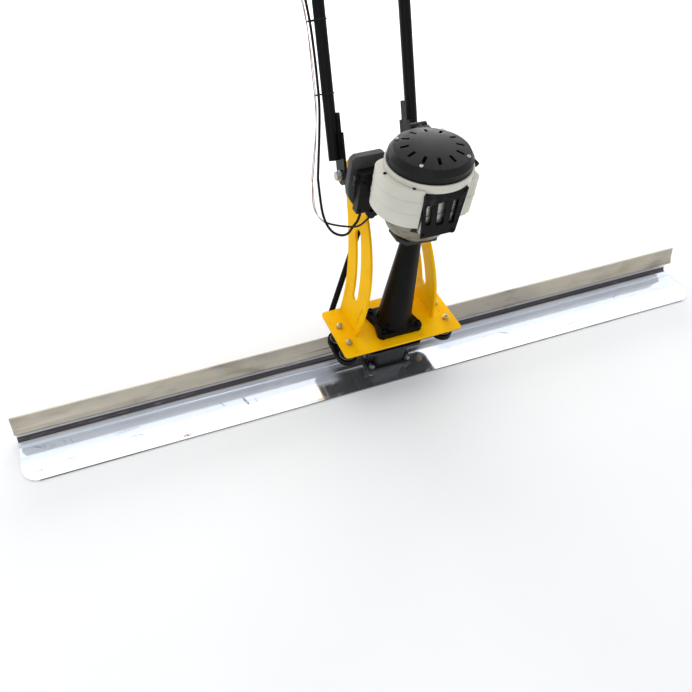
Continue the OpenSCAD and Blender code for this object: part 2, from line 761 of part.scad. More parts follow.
// ---------- Control cables ----------
throttle_lower = [[-90, 82, 429.9], [-90, 82, 426], [-91, 81, 420], [-93, 80, 413], [-96, 80, 404],
    [-101, 82, 394], [-108, 91, 368], [-118, 102, 358], [-129, 115, 358], [-137, 126, 366],
    [-142, 137, 378], [-144, 149, 391], [-144, 160, 405], [-142, 175, 420], [-138, 196, 437]];
throttle_upper = [[-136, 204, 444], [-128, 226, 475], [-119, 252, 520], [-113, 276, 568],
    [-112, 300, 616], [-112, 326, 664], [-114, 352, 712], [-122, 378, 764], [-138, 402, 816],
    [-160, 422, 868], [-178, 435, 910], [-184, 443.4, 942.6], [-184, 452.7, 960.1]];
stop_lower = [[-76, 46, 479.9], [-76, 46, 468], [-77, 46.2, 457], [-80, 47.5, 447], [-84, 51, 436],
    [-89, 56, 424], [-94, 64, 409], [-102, 74, 398], [-120, 91, 391], [-140, 109, 388], [-154, 123, 390],
    [-161, 136, 397], [-164, 150, 410], [-160, 170, 424],
    [-152, 194, 437]];
stop_upper = [[-150, 202, 443], [-139, 226, 472], [-127, 252, 518], [-119, 280, 566],
    [-117.5, 306, 614], [-117.5, 332, 662], [-119, 358, 710], [-128, 384, 764], [-146, 410, 820],
    [-168, 434, 872], [-185, 447, 908], [-193, 455, 930.3], [-193, 464, 947.2]];

// Side vectors carried along a route without twisting
function carried(dirs, i = 0, u = [1, 0, 0]) = i == len(dirs) ? []
    : let (v = unit(u - (u * dirs[i]) * dirs[i])) concat([v], carried(dirs, i + 1, v));

// Tube swept along a route of points, with closed ends
module swept_tube(route, d, sides) {
    count = len(route);
    dirs = [for (i = [0:count - 1]) unit(route[min(i + 1, count - 1)] - route[max(i - 1, 0)])];
    sides_u = carried(dirs);
    rings = [for (i = [0:count - 1])
        let (w = dirs[i], u = sides_u[i], v = cross(w, u))
        [for (k = [0:sides - 1]) route[i] + d / 2 * (cos(360 * k / sides) * u + sin(360 * k / sides) * v)]];
    points = [for (r = rings, p = r) p];
    walls = [for (i = [0:count - 2], k = [0:sides - 1])
        [i * sides + k, i * sides + (k + 1) % sides, (i + 1) * sides + (k + 1) % sides, (i + 1) * sides + k]];
    ends = [[for (k = [sides - 1:-1:0]) k], [for (k = [0:sides - 1]) (count - 1) * sides + k]];
    polyhedron(points, concat(walls, ends));
}
module throttle_cable_lower() { color("black") swept_tube(throttle_lower, 5.6, 8); }
module throttle_cable_upper() { color("black") swept_tube(throttle_upper, 5.6, 8); }
module stop_lead_lower() { color("black") swept_tube(stop_lower, 4.4, 8); }
module stop_lead_upper() { color("black") swept_tube(stop_upper, 4.4, 8); }

blade();
blade_screws();
exciter_housing();
exciter_cover();
cover_screws();
exciter_bearings();
lower_bracket();
isolators();
isolator_studs();
isolator_nuts();
engine_plate();
arm_left();
arm_right();
drive_housing();
housing_bolts();
shaft_bearings();
clutch_housing();
crankcase();
crank_bearings();
cylinder_body();  // cylinder
cylinder_cover();
fan_shroud();
muffler();
muffler_guard();
carburettor();
air_cleaner();
fuel_tank();
recoil_housing();
spark_plug();
pivot_tube();
pivot_bushes();
stand_bracket();
stand_pin();
throttle_cable_lower();
stop_lead_lower();
crankshaft();
flywheel();
clutch_shoes();
clutch_drum();
drive_shaft();
coupling();
eccentric_shaft();
eccentric_weight();
pivot_bolt();
handle_left();
handle_right();
handlebar();
grips();
control_mount();
throttle_cable_upper();
stop_lead_upper();
kickstand();
throttle_lever();
stop_button();
clamp_knob();
recoil_grip();
choke_lever();
primer_bulb();
fuel_cap();
oil_cap();
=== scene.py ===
"""Looks of a power screed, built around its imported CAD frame.

X runs along the board, -Y is the front, +Y the operator's side and Z = 0 the ground. Lengths are in metres.
"""

import json
import math

import bmesh
import bpy
from mathutils import Matrix, Vector


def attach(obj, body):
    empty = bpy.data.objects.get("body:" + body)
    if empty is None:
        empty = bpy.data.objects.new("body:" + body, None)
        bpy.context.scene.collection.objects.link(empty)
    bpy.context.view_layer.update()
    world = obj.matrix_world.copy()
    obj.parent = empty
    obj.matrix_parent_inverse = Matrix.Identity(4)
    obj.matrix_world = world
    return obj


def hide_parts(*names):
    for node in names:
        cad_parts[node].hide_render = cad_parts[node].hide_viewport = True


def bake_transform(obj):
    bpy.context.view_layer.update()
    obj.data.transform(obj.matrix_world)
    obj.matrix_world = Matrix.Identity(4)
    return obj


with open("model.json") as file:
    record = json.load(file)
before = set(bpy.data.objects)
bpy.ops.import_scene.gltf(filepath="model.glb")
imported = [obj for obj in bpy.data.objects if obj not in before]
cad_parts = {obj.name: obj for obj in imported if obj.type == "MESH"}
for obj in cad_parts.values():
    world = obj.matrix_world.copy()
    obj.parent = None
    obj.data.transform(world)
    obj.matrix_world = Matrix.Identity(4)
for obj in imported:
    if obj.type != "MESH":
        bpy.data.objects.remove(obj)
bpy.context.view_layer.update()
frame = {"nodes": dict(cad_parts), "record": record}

MM = 0.001

# Places the CAD source fixes, in metres
AXIS_Y = 0.012
PLATE_TOP = 0.134
PIVOT = Vector((0, 0.200, 0.440))
HANDLE_TILT = math.radians(28)
HANDLE_LENGTH = 0.590
ARM_X = 0.0986
ARM_LEAN = math.radians(7.9)
ARM_T = 0.006

SLOT_OF = {part["node"]: part["material_slot"] for part in frame["record"]["subparts"]}
BODY_OF = {
    node: body
    for body, nodes in frame["record"]["behaviour"]["bodies"].items()
    for node in nodes
}


# ---------------------------------------------------------------- camera, floor, light
def add_camera():
    data = bpy.data.cameras.new("camera")
    data.lens = 33.73
    data.sensor_width = 36
    data.shift_x = 0.129
    data.shift_y = -0.0027
    camera = bpy.data.objects.new("camera", data)
    camera.location = (-0.6475, -0.8911, 1.2540)
    camera.rotation_euler = (math.radians(41.566), 0, math.radians(-18.738))
    bpy.context.scene.collection.objects.link(camera)
    bpy.context.scene.camera = camera


def add_area(name, place, target, size, watts, colour=(1, 1, 1)):
    data = bpy.data.lights.new(name, "AREA")
    data.shape = "RECTANGLE"
    data.size, data.size_y = size
    data.energy = watts
    data.color = colour
    lamp = bpy.data.objects.new(name, data)
    lamp.location = place
    lamp.rotation_euler = (Vector(target) - Vector(place)).to_track_quat("-Z", "Y").to_euler()
    bpy.context.scene.collection.objects.link(lamp)


def add_studio():
    world = bpy.data.worlds.new("studio")
    world.use_nodes = True
    background = world.node_tree.nodes["Background"]
    background.inputs["Color"].default_value = (0.96, 0.98, 1.0, 1)
    background.inputs["Strength"].default_value = 0.76
    bpy.context.scene.world = world
    bpy.context.scene.view_settings.view_transform = "Standard"
    add_area("overhead", (1.2, 1.5, 2.6), (1.1, 0.1, 0.2), (8.4, 2.2), 56, (1, 0.99, 0.97))
    add_area("low_back", (0.3, 2.9, 0.95), (0, 0, 0.05), (4.0, 0.6), 54, (1, 0.99, 0.97))
    add_area("front_fill", (-1.6, -2.2, 1.6), (0, 0, 0.3), (1.6, 1.6), 9)
    bpy.ops.mesh.primitive_plane_add(size=14, location=(0, 0, 0))
    floor = bpy.context.object
    floor.name = "floor"
    floor.data.materials.append(pale_floor())


# ---------------------------------------------------------------- materials
def rgb(hex_code):
    """Linear colour of a hexadecimal sRGB one."""
    parts = [int(hex_code[i : i + 2], 16) / 255 for i in (0, 2, 4)]
    return tuple(p / 12.92 if p <= 0.04045 else ((p + 0.055) / 1.055) ** 2.4 for p in parts)


class Finish:
    """A node material, built step by step from noise, masks and ramps."""

    def __init__(self, name, colour, roughness=0.5, metallic=0.0):
        self.material = bpy.data.materials.new(name)
        self.material.use_nodes = True
        self.tree = self.material.node_tree
        self.shader = self.tree.nodes["Principled BSDF"]
        self.colour = self.constant(colour)
        self.roughness = roughness
        self.shader.inputs["Metallic"].default_value = metallic
        self.place = self.tree.nodes.new("ShaderNodeTexCoord").outputs["Object"]
        self.height = None

    def constant(self, colour):
        node = self.tree.nodes.new("ShaderNodeRGB")
        node.outputs[0].default_value = (*colour, 1)
        return node.outputs[0]

    def join(self, value, socket):
        if isinstance(value, (int, float)):
            socket.default_value = value
        elif isinstance(value, tuple):
            socket.default_value = value if len(value) == len(socket.default_value) else (*value, 1)
        else:
            self.tree.links.new(value, socket)

    def noise(self, scale, detail=3.0, stretch=(1, 1, 1), distortion=0.0):
        mapping = self.tree.nodes.new("ShaderNodeMapping")
        mapping.inputs["Scale"].default_value = stretch
        self.join(self.place, mapping.inputs["Vector"])
        node = self.tree.nodes.new("ShaderNodeTexNoise")
        self.join(mapping.outputs[0], node.inputs["Vector"])
        node.inputs["Scale"].default_value = scale
        node.inputs["Detail"].default_value = detail
        node.inputs["Distortion"].default_value = distortion
        return node.outputs["Fac"]

    def spread(self, value, low, high, to_low=0.0, to_high=1.0):
        """value taken from low..high to to_low..to_high, eased and held at both ends."""
        node = self.tree.nodes.new("ShaderNodeMapRange")
        node.interpolation_type = "SMOOTHSTEP"
        self.join(value, node.inputs["Value"])
        for key, number in (("From Min", low), ("From Max", high), ("To Min", to_low), ("To Max", to_high)):
            node.inputs[key].default_value = number
        return node.outputs["Result"]

    def maths(self, operation, a, b=0.0):
        node = self.tree.nodes.new("ShaderNodeMath")
        node.operation = operation
        self.join(a, node.inputs[0])
        self.join(b, node.inputs[1])
        return node.outputs[0]

    def axis(self, name):
        node = self.tree.nodes.new("ShaderNodeSeparateXYZ")
        self.join(self.place, node.inputs[0])
        return node.outputs[name]

    def spot(self, centre, size, turn=0.0):
        """1 at a place on the object, falling to 0 at an ellipse of that size around it."""
        mapping = self.tree.nodes.new("ShaderNodeMapping")
        mapping.vector_type = "TEXTURE"
        self.join(self.place, mapping.inputs["Vector"])
        mapping.inputs["Location"].default_value = centre
        mapping.inputs["Rotation"].default_value = (0, 0, turn)
        mapping.inputs["Scale"].default_value = size
        length = self.tree.nodes.new("ShaderNodeVectorMath")
        length.operation = "LENGTH"
        self.join(mapping.outputs[0], length.inputs[0])
        return self.spread(length.outputs["Value"], 0.45, 1.0, 1.0, 0.0)

    def tint(self, colour, mask):
        node = self.tree.nodes.new("ShaderNodeMix")
        node.data_type = "RGBA"
        self.join(mask, node.inputs["Factor"])
        self.join(self.colour, node.inputs["A"])
        self.join(colour, node.inputs["B"])
        self.colour = node.outputs["Result"]

    def rougher(self, amount, mask):
        self.roughness = self.maths("ADD", self.roughness, self.maths("MULTIPLY", mask, amount))

    def raised(self, mask, amount):
        scaled = self.maths("MULTIPLY", mask, amount)
        self.height = scaled if self.height is None else self.maths("ADD", self.height, scaled)

    def edges(self, low=0.53, high=0.62):
        """1 on worn outer edges."""
        point = self.tree.nodes.new("ShaderNodeNewGeometry").outputs["Pointiness"]
        return self.maths("MULTIPLY", self.spread(point, low, high), self.spread(self.noise(90), 0.4, 0.6))

    def done(self, coat=0.0, bump_distance=0.001, **inputs):
        self.join(self.colour, self.shader.inputs["Base Color"])
        self.join(self.roughness, self.shader.inputs["Roughness"])
        self.shader.inputs["Coat Weight"].default_value = coat
        self.shader.inputs["Coat Roughness"].default_value = 0.12
        for key, value in inputs.items():
            self.shader.inputs[key.replace("_", " ")].default_value = value
        if self.height is not None:
            bump = self.tree.nodes.new("ShaderNodeBump")
            bump.inputs["Distance"].default_value = bump_distance
            self.join(self.height, bump.inputs["Height"])
            self.join(bump.outputs[0], self.shader.inputs["Normal"])
        return self.material


def pale_floor():
    f = Finish("pale_floor", (0.93, 0.932, 0.934), 0.75)
    f.tint((0.90, 0.903, 0.906), f.spread(f.noise(1.3), 0.3, 0.7))
    f.raised(f.noise(400, 2), 0.05)
    return f.done()


def board_metal():
    """Extruded aluminium: a near mirror on the sole plate, dull and blotchy on the upstand."""
    f = Finish("board_metal", rgb("F4F7FD"), 0.035, 1.0)
    streaks = f.noise(1.0, 4, (3, 420, 420))
    wide = f.noise(1.0, 3, (1.5, 60, 60))
    f.tint(rgb("DADFEA"), f.spread(streaks, 0.45, 0.75, 0, 0.5))
    f.rougher(0.04, f.spread(wide, 0.35, 0.7))
    f.rougher(0.03, streaks)
    upstand = f.spread(f.axis("Z"), 5.2 * MM, 6.5 * MM)
    blotches = f.spread(f.noise(9, 5, (1, 3, 3), 0.4), 0.42, 0.68)
    f.tint(rgb("ABA499"), upstand)
    f.tint(rgb("7A7264"), f.maths("MULTIPLY", upstand, f.maths("MULTIPLY", blotches, 0.85)))
    patches = f.spread(f.noise(3.2, 4, (1, 2, 2), 0.6), 0.44, 0.62)
    f.tint(rgb("CFC6B4"), f.maths("MULTIPLY", upstand, f.maths("MULTIPLY", patches, 0.5)))
    f.rougher(0.30, upstand)
    # Painted shade in the upstand's recess low down (z 6 to 17 mm), and a painted highlight on the band above
    # it (z 17 to 34 mm).
    height = f.axis("Z")
    painted_groove_shade = f.maths("MULTIPLY", f.spread(height, 6 * MM, 7 * MM), f.spread(height, 15 * MM, 19 * MM, 1, 0))
    painted_ledge_highlight = f.maths("MULTIPLY", f.spread(height, 17 * MM, 20 * MM), f.spread(height, 30 * MM, 34 * MM, 1, 0))
    f.tint(rgb("F2F0EC"), f.maths("MULTIPLY", painted_ledge_highlight, 0.9))
    f.tint(rgb("46434A"), f.maths("MULTIPLY", painted_groove_shade, 0.95))
    f.tint(rgb("5E574B"), f.spread(f.axis("Y"), -62.95 * MM, -62.6 * MM, 1, 0))
    sole = f.spread(f.axis("Z"), 5.2 * MM, 6.5 * MM, 1, 0)
    # Painted reflection: a bluish band on the back part of the sole, towards the upstand, stands for the
    # upstand mirrored in it.
    f.tint(rgb("D9E2F2"), f.maths("MULTIPLY", sole, f.spread(f.axis("Y"), -14 * MM, -8 * MM, 0, 0.8)))
    outer = f.spread(f.maths("ABSOLUTE", f.axis("X")), 0.12, 0.16)
    dull = f.maths("MULTIPLY", f.spread(f.axis("Y"), -30 * MM, -12 * MM), outer)
    haze = f.maths("MULTIPLY", sole, f.maths("MULTIPLY", dull, 0.5))
    f.join(f.maths("SUBTRACT", 0.92, haze), f.shader.inputs["Metallic"])
    f.rougher(0.02, sole)
    front = f.spread(f.axis("Y"), -0.060, -0.046, 1, 0)
    lines = f.spread(f.noise(1.0, 2, (2, 900, 10)), 0.50, 0.60)
    f.tint(rgb("A9AEB8"), f.maths("MULTIPLY", f.maths("MULTIPLY", front, lines), 0.6))
    f.rougher(0.16, f.maths("MULTIPLY", front, lines))
    grain = f.spread(f.noise(420, 2), 0.3, 0.6)
    for centre, size, turn, colour, strength in BOARD_MARKS:
        mark = f.maths("MULTIPLY", f.spot(centre, size, turn), f.maths("MULTIPLY", grain, strength))
        f.tint(colour, mark)
        f.rougher(0.3, mark)
    scratches = f.spread(f.noise(1.0, 2, (9, 160, 9), 2.5), 0.62, 0.66)
    f.tint(rgb("9BA1AC"), f.maths("MULTIPLY", scratches, 0.3))
    f.raised(streaks, 0.004)
    f.raised(f.noise(1.0, 2, (4, 14, 14)), 0.03)
    return f.done(bump_distance=0.002)


DARK_SCUFF, BROWN_SCUFF, GREY_SCUFF = rgb("4A4E58"), rgb("8A7A66"), rgb("8F96A3")
BOARD_MARKS = [
    ((-0.3741, -0.0052, 0.004), (0.0042, 0.018, 0.01), 0.35, DARK_SCUFF, 1.0),
    ((-0.530, -0.0544, 0.004), (0.014, 0.0050, 0.01), 0.1, BROWN_SCUFF, 1.0),
    ((-0.859, 0.0232, 0.004), (0.016, 0.0034, 0.01), -0.4, GREY_SCUFF, 1.0),
    ((-0.829, 0.0131, 0.004), (0.012, 0.0030, 0.01), 0.5, GREY_SCUFF, 1.0),
    ((-0.790, -0.030, 0.004), (0.024, 0.0026, 0.01), 0.05, GREY_SCUFF, 0.9),
    ((-0.640, -0.018, 0.004), (0.032, 0.0026, 0.01), -0.08, GREY_SCUFF, 0.8),
    ((-0.455, -0.036, 0.004), (0.018, 0.0028, 0.01), 0.3, GREY_SCUFF, 0.9),
    ((-0.845, 0.020, 0.004), (0.0022, 0.010, 0.01), 0.2, GREY_SCUFF, 1.0),
    ((-0.800, 0.018, 0.004), (0.0020, 0.013, 0.01), 0.3, GREY_SCUFF, 0.9),
    ((-0.785, 0.017, 0.004), (0.0020, 0.011, 0.01), 0.3, GREY_SCUFF, 0.8),
    ((-0.862, -0.040, 0.004), (0.020, 0.0030, 0.01), 0.1, BROWN_SCUFF, 0.8),
    ((-0.430, 0.004, 0.004), (0.0022, 0.011, 0.01), 0.5, DARK_SCUFF, 0.7),
    ((-0.350, -0.010, 0.004), (0.0020, 0.009, 0.01), 0.2, GREY_SCUFF, 0.9),
    ((-0.660, 0.002, 0.004), (0.040, 0.0050, 0.01), 0.05, GREY_SCUFF, 0.35),
    ((-0.700, -0.030, 0.004), (0.050, 0.0060, 0.01), -0.04, BROWN_SCUFF, 0.25),
    ((0.335, -0.012, 0.004), (0.020, 0.0034, 0.01), -0.5, GREY_SCUFF, 1.0),
    ((0.520, -0.040, 0.004), (0.028, 0.0028, 0.01), 0.1, GREY_SCUFF, 0.9),
    ((0.700, 0.010, 0.004), (0.016, 0.0030, 0.01), 0.6, GREY_SCUFF, 0.9),
]


def yellow_paint():
    f = Finish("yellow_paint", rgb("F4BA00"), 0.36)
    f.tint(rgb("E6A600"), f.spread(f.noise(14, 4), 0.45, 0.75, 0, 0.6))
    f.tint(rgb("B07C08"), f.maths("MULTIPLY", f.spread(f.noise(38, 6, (1, 1, 0.4)), 0.62, 0.78), 0.5))
    f.tint(rgb("5F4E22"), f.maths("MULTIPLY", f.spread(f.noise(130, 5), 0.71, 0.75), 0.7))
    # Painted shade: the plate's underside, more than about 5 mm below its top, is darkened nearly to
    # black-brown.
    below = f.spread(f.axis("Z"), PLATE_TOP - 5.6 * MM, PLATE_TOP - 5.0 * MM, 1, 0)
    f.tint(rgb("3A3021"), f.maths("MULTIPLY", below, 0.93))
    f.rougher(0.18, f.noise(30))
    f.raised(f.noise(260, 2), 0.10)
    return f.done(Specular_IOR_Level=0.06)


def black_coat(name="black_coat", colour="070708", roughness=0.36):
    f = Finish(name, rgb(colour), roughness)
    f.tint(rgb("101011"), f.spread(f.noise(25, 4), 0.5, 0.8, 0, 0.6))
    f.tint(rgb("3E3F42"), f.maths("MULTIPLY", f.edges(), 0.35))
    f.rougher(0.15, f.noise(60))
    f.raised(f.noise(520, 2), 0.12)
    return f.done(Specular_IOR_Level=0.10)


def cast_metal(name, colour, dark, roughness=0.5, metallic=0.6, grain=0.5, worn="B9B6AE"):
    f = Finish(name, rgb(colour), roughness, metallic)
    f.tint(rgb(dark), f.spread(f.noise(40, 5), 0.4, 0.7, 0, 0.8))
    f.tint(rgb(worn), f.maths("MULTIPLY", f.edges(), 0.35))
    f.rougher(0.15, f.noise(80))
    f.raised(f.noise(700, 3), grain)
    return f.done()


def turned_steel(name, colour="B9BABC", dark="85868A", roughness=0.26):
    f = Finish(name, rgb(colour), roughness, 1.0)
    f.tint(rgb(dark), f.spread(f.noise(1, 4, (60, 60, 900)), 0.4, 0.7))
    f.rougher(0.15, f.noise(120))
    f.raised(f.noise(1, 2, (80, 80, 1400)), 0.04)
    return f.done()


def zinc_plate():
    f = Finish("zinc_plate", rgb("D9BE78"), 0.28, 1.0)
    f.tint(rgb("A8B08C"), f.spread(f.noise(220, 3), 0.45, 0.65, 0, 0.7))
    f.tint(rgb("7A5A2C"), f.spread(f.noise(420, 4), 0.58, 0.75, 0, 0.8))
    f.rougher(0.15, f.noise(300))
    return f.done()


def moulded(name, colour, shade, roughness=0.42, grain=0.10, coat=0.0, shine=0.5):
    f = Finish(name, rgb(colour), roughness)
    f.tint(rgb(shade), f.spread(f.noise(11, 4), 0.4, 0.75, 0, 0.6))
    f.rougher(0.12, f.noise(45))
    f.raised(f.noise(900, 2), grain)
    return f.done(coat=coat, Specular_IOR_Level=shine)


def soft_rubber(name="soft_rubber", colour="141414"):
    f = Finish(name, rgb(colour), 0.62)
    f.tint(rgb("262626"), f.spread(f.noise(70, 5), 0.5, 0.8, 0, 0.7))
    f.rougher(0.2, f.noise(150))
    f.raised(f.noise(600, 3), 0.25)
    return f.done(Specular_IOR_Level=0.3)


def braided_rope():
    f = Finish("braided_rope", rgb("26272A"), 0.8)
    strands = f.spread(f.noise(1, 1, (900, 260, 900), 1.5), 0.4, 0.6)
    f.tint(rgb("6B6C70"), strands)
    f.raised(strands, 0.3)
    return f.done()


MATERIALS = {
    "board": board_metal(),
    "zinc_steel": zinc_plate(),
    "casting": cast_metal("dark_casting", "1A1C1E", "101112", 0.46, 0.15, 0.4, "55565A"),
    "steel": turned_steel("turned_steel"),
    "black_steel": black_coat(),
    "rubber": soft_rubber(),
    "yellow_paint": yellow_paint(),
    "case_metal": cast_metal("case_metal", "8C877B", "6F6A60", 0.46, 0.35, 0.35),
    "cylinder_metal": cast_metal("cylinder_metal", "A9A9A8", "7E7E80", 0.4, 0.8, 0.4),
    "ivory_plastic": moulded("ivory_plastic", "CFCDC2", "C2BFB4", 0.38, 0.06, 0.1, 0.35),
    "muffler_steel": turned_steel("muffler_steel", "C9C7C1", "8C867E", 0.38),
    "black_plastic": moulded("black_plastic", "0C0C0D", "151516", 0.38, shine=0.22),
    "grey_plastic": moulded("grey_plastic", "3A3B3D", "2C2D2F", 0.55, 0.2),
    "plug_ceramic": moulded("plug_ceramic", "EDEBE6", "E2E0D8", 0.15, 0.02, 0.6),
    "bronze": turned_steel("bronze", "B98B4A", "8A6430", 0.35),
    "black_aluminium": black_coat("black_tube_coat", "0F0F11", 0.30),
    "cable_sleeve": soft_rubber("cable_sleeve", "090909"),
    "red_plastic": moulded("red_plastic", "A81E16", "8C130E", 0.22, 0.03, 0.4),
}
CONE_COAT = black_coat("drive_housing_coat", "080707", 0.32)
RED_WIRE = moulded("red_wire", "A33A2E", "7E2A22", 0.4)
GREY_WIRE = moulded("grey_wire", "B9B7B2", "9B9994", 0.4)
ROPE = braided_rope()


# ---------------------------------------------------------------- mesh helpers
def piece(name, mesh, body, slot, material=None, stands_for=(), sharp=32):
    """Adds a mesh (or bmesh) as a piece that rides on a body."""
    if isinstance(mesh, bmesh.types.BMesh):
        bmesh.ops.recalc_face_normals(mesh, faces=mesh.faces)
        data = bpy.data.meshes.new(name)
        mesh.to_mesh(data)
        mesh.free()
        mesh = data
    mesh.shade_smooth()
    mesh.set_sharp_from_angle(angle=math.radians(sharp))
    obj = bpy.data.objects.new(name, mesh)
    bpy.context.scene.collection.objects.link(obj)
    mesh.materials.clear()
    mesh.materials.append(material or MATERIALS[slot])
    if body:
        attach(obj, body)
    if stands_for:
        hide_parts(*stands_for)
    return obj


def rounded_edges(obj, width, segments=2, angle=32):
    bevel = obj.modifiers.new("rounded_edges", "BEVEL")
    bevel.width = width
    bevel.segments = segments
    bevel.limit_method = "ANGLE"
    bevel.angle_limit = math.radians(angle)
    bevel.use_clamp_overlap = True
    bevel.harden_normals = True
    return obj


def dressed(node, width=0.6 * MM, segments=2, material=None, name=None):
    """Stands for a CAD node with a copy of it that has small rounded edges."""
    bm = bmesh.new()
    bm.from_mesh(frame["nodes"][node].data)
    bmesh.ops.remove_doubles(bm, verts=bm.verts, dist=2e-6)
    bmesh.ops.dissolve_limit(
        bm, angle_limit=math.radians(1.0), verts=bm.verts, edges=bm.edges, delimit=set()
    )
    obj = piece(
        name or f"{node}_shell", bm, BODY_OF[node], SLOT_OF[node], material, stands_for=(node,)
    )
    return rounded_edges(obj, width, segments)


def loft(bm, rings, closed=True, caps=True):
    """Joins rings of points, each a list of the same length."""
    rows = [[bm.verts.new(p) for p in ring] for ring in rings]
    count = len(rows[0])
    for low, high in zip(rows, rows[1:]):
        for k in range(count if closed else count - 1):
            n = (k + 1) % count
            bm.faces.new((low[k], low[n], high[n], high[k]))
    if caps and closed:
        bm.faces.new(rows[0][::-1])
        bm.faces.new(rows[-1])
    return rows


def circle(radius, z, count, wobble=None):
    turns = [2 * math.pi * k / count for k in range(count)]
    return [
        Vector((math.cos(a), math.sin(a), 0)) * (radius * (wobble(a) if wobble else 1)) + Vector((0, 0, z))
        for a in turns
    ]


def turned(profile, count=48, wobble=None):
    """A bmesh turned about Z from (radius, z) points; it is closed where the radius is 0."""
    bm = bmesh.new()
    loft(bm, [circle(max(r, 1e-6), z, count, wobble) for r, z in profile], caps=False)
    bmesh.ops.remove_doubles(bm, verts=bm.verts, dist=5e-6)
    return bm


def move(bm, matrix):
    bmesh.ops.transform(bm, matrix=matrix, verts=bm.verts)
    return bm


def merged(parts):
    """One bmesh from several."""
    whole = bmesh.new()
    for part in parts:
        mesh = bpy.data.meshes.new("part")
        part.to_mesh(mesh)
        part.free()
        whole.from_mesh(mesh)
        bpy.data.meshes.remove(mesh)
    return whole


def at(x, y, z, axis=(0, 0, 1)):
    """Moves the origin to a point and turns Z to an axis."""
    turn = Vector((0, 0, 1)).rotation_difference(Vector(axis)).to_matrix().to_4x4()
    return Matrix.Translation((x, y, z)) @ turn


def hex_radius(across, angle):
    return across / 2 / math.cos((angle + math.pi / 6) % (math.pi / 3) - math.pi / 6)


def hex_nut(across, bore, height):
    """Hexagonal nut with turned chamfers, standing on the XY plane."""
    count, flat = 48, across / 2 * 0.96
    turns = [2 * math.pi * k / count for k in range(count)]
    slope = math.tan(math.radians(30))

    def ring(z, sign):
        return [
            Vector((math.cos(a), math.sin(a), 0)) * hex_radius(across, a)
            + Vector((0, 0, z + sign * (hex_radius(across, a) - flat) * slope))
            for a in turns
        ]

    bm = bmesh.new()
    rings = [
        circle(bore / 2, 0.4 * MM, count),
        circle(bore / 2 + 0.5 * MM, 0, count),
        circle(flat, 0, count),
        ring(0, 1),
        ring(height, -1),
        circle(flat, height, count),
        circle(bore / 2 + 0.5 * MM, height, count),
        circle(bore / 2, height - 0.5 * MM, count),
        circle(bore / 2, 0.4 * MM, count),
    ]
    loft(bm, rings, caps=False)
    bmesh.ops.remove_doubles(bm, verts=bm.verts, dist=2e-6)
    return bm


def washer(outer, bore, height):
    edge = 0.3 * MM
    return turned(
        [
            (bore / 2, 0),
            (outer / 2 - edge, 0),
            (outer / 2, edge),
            (outer / 2, height - edge),
            (outer / 2 - edge, height),
            (bore / 2, height),
            (bore / 2, 0),
        ]
    )


def threaded_rod(diameter, low, high, pitch=1.25 * MM):
    """Rod with a helical thread and a chamfered tip at the top."""
    count, per_turn, depth = 20, 5, 0.55 * MM
    steps = max(2, int((high - low) / pitch * per_turn))
    rings = []
    for i in range(steps + 1):
        z = low + (high - low) * i / steps
        tip = min(1.0, 0.8 + (high - z) / (1.0 * MM) * 0.2)
        ring = []
        for k in range(count):
            a = 2 * math.pi * k / count
            phase = (z / pitch - k / count) % 1
            r = (diameter / 2 - depth * abs(2 * phase - 1)) * tip
            ring.append(Vector((r * math.cos(a), r * math.sin(a), z)))
        rings.append(ring)
    bm = bmesh.new()
    loft(bm, rings)
    return bm


def cap_screw(head, head_h, socket, shank=None, shank_l=0.0):
    """Socket-head screw with a knurled head; the head stands on the XY plane, the shank below it."""
    count = 72
    knurl = lambda a: 1 - 0.025 * (0.5 + 0.5 * math.cos(24 * a))
    r, edge = head / 2, 0.7 * MM
    turns = [2 * math.pi * k / count for k in range(count)]

    def hexagon(z):
        ways = [(Vector((math.cos(a), math.sin(a), 0)), hex_radius(socket, a)) for a in turns]
        return [way * radius + Vector((0, 0, z)) for way, radius in ways]

    rings = [circle(1e-6, 0, count)]
    if shank:
        rings = [
            circle(1e-6, -shank_l, count),
            circle(shank / 2, -shank_l, count),
            circle(shank / 2, 0, count),
        ]
    rings += [
        circle(r * 0.97, 0, count),
        circle(r, 0.3 * MM, count, knurl),
        circle(r, head_h - edge, count, knurl),
        circle(r - edge * 0.4, head_h - edge * 0.3, count),
        circle(r - edge, head_h, count),
        circle(socket / 2 * 1.22, head_h, count),
        hexagon(head_h - 0.4 * MM),
        hexagon(head_h * 0.5),
        circle(1e-6, head_h * 0.5, count),
    ]
    bm = bmesh.new()
    loft(bm, rings, caps=False)
    bmesh.ops.remove_doubles(bm, verts=bm.verts, dist=5e-6)
    return bm


def smoothed(points, steps=6):
    """More points along a route, on a smooth curve through the given ones."""
    pts = [Vector(p) for p in points]
    pts = [2 * pts[0] - pts[1], *pts, 2 * pts[-1] - pts[-2]]
    out = []
    for a, b, c, d in zip(pts, pts[1:], pts[2:], pts[3:]):
        for i in range(steps):
            t = i / steps
            out.append(
                0.5
                * (
                    2 * b
                    + (c - a) * t
                    + (2 * a - 5 * b + 4 * c - d) * t * t
                    + (3 * b - a - 3 * c + d) * t**3
                )
            )
    out.append(pts[-2])
    return out


def swept(route, radius, sides=12, flat=1.0, turn=0.0):
    """Tube along a route. radius is a number or a function of the distance along it."""
    along, total = [0.0], 0.0
    for a, b in zip(route, route[1:]):
        total += (b - a).length
        along.append(total)
    side = None
    rings = []
    for i, p in enumerate(route):
        ahead = (route[min(i + 1, len(route) - 1)] - route[max(i - 1, 0)]).normalized()
        guide = side if side is not None else (Vector((0, 0, 1)) if abs(ahead.z) < 0.8 else Vector((1, 0, 0)))
        side = (guide - guide.dot(ahead) * ahead).normalized()
        other = ahead.cross(side)
        r = radius(along[i]) if callable(radius) else radius
        rings.append(
            [
                p + side * (r * math.cos(a)) + other * (r * flat * math.sin(a))
                for a in (2 * math.pi * k / sides + turn for k in range(sides))
            ]
        )
    bm = bmesh.new()
    loft(bm, rings)
    return bm


